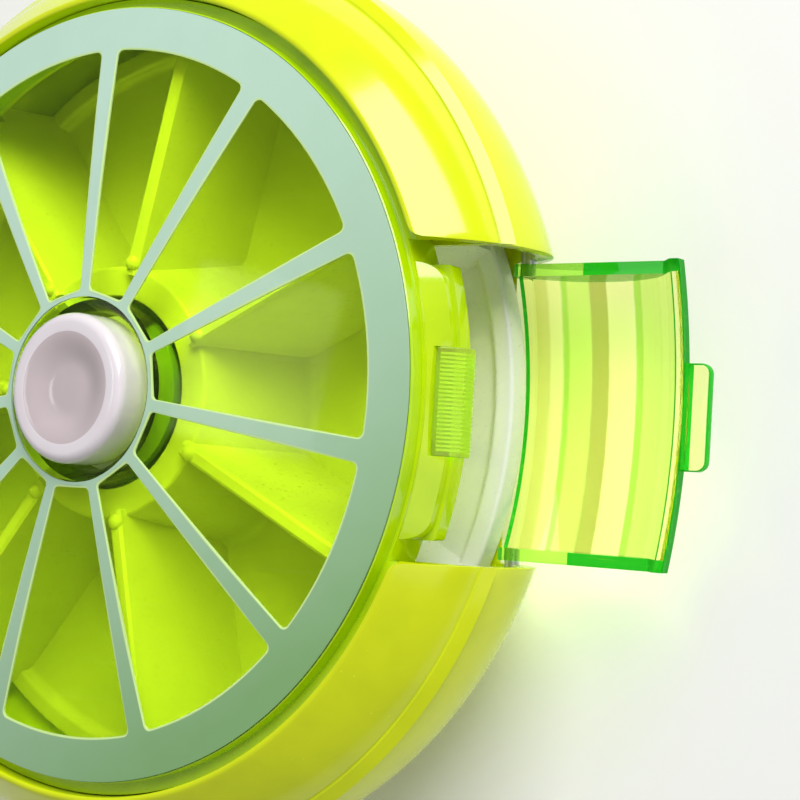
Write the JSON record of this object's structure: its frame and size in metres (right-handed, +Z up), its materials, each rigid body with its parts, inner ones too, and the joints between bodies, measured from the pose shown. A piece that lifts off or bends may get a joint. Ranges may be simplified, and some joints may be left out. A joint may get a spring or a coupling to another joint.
{
  "type": "rotating pill organizer",
  "caption": "Round push-button pill organizer: a domed clear lid with a citrus-slice print over a turning compartment tray, in a rounded casing with a hinged flap door.",
  "frame": {"origin": "on the turning axis of the tray, at the plane of the foot ring that stands on the table", "axes": "+Z up along the turning axis, +X towards the flap door, +Y to the left of the door seen from outside"},
  "size_m": [0.0993, 0.0876, 0.0275],
  "materials": {
    "casing_green": "glossy",
    "collar_green": "glossy",
    "clear_green": "clear glossy",
    "print_mint": "satin printed film",
    "tray_white": "satin",
    "button_white": "glossy",
    "inner_white": "satin",
    "steel": "bright"
  },
  "bodies": {
    "case": {"base_dish": "casing_green", "outer_shell": "casing_green", "collar_ring": "collar_green", "door_catch": "clear_green", "clear_cover": "clear_green", "slice_print": "print_mint", "spring_seat": "inner_white", "spindle": "inner_white", "spindle_screw": "steel", "thrust_washer": "inner_white", "glide_ring": "inner_white", "detent_arm": "steel", "detent_rivet": "steel"},
    "tray": {"compartment_tray": "tray_white", "ratchet_crown": "inner_white"},
    "button": {"button_cap": "button_white", "plunger": "button_white", "return_spring": "steel"},
    "rotor": {"drive_rotor": "inner_white", "pawl_ring": "inner_white"},
    "door": {"flap_door": "clear_green", "hinge_pins": "steel"}
  },
  "joints": [
    {"name": "tray_turn", "type": "hinge", "parent": "case", "child": "tray", "pos_m": [0, 0, 0.00705], "axis": [0, 0, 1], "continuous": true},
    {"name": "button_press", "type": "slide", "parent": "case", "child": "button", "axis": [0, 0, -1], "range_m": [0, 0.0025], "stiffness_N_per_m": 300, "springref_m": -0.003, "deforming": ["return_spring"]},
    {"name": "rotor_turn", "type": "hinge", "parent": "case", "child": "rotor", "pos_m": [0, 0, 0.0078], "axis": [0, 0, 1], "range_deg": [0, 51.5]},
    {"name": "door_swing", "type": "hinge", "parent": "case", "child": "door", "pos_m": [0.0371, 0, 0.0077], "axis": [0, 1, 0], "range_deg": [-90, 0]}
  ],
  "couplings": [
    {"joint": "rotor_turn", "follows": "button_press", "rad_per_m": 359.04}
  ]
}
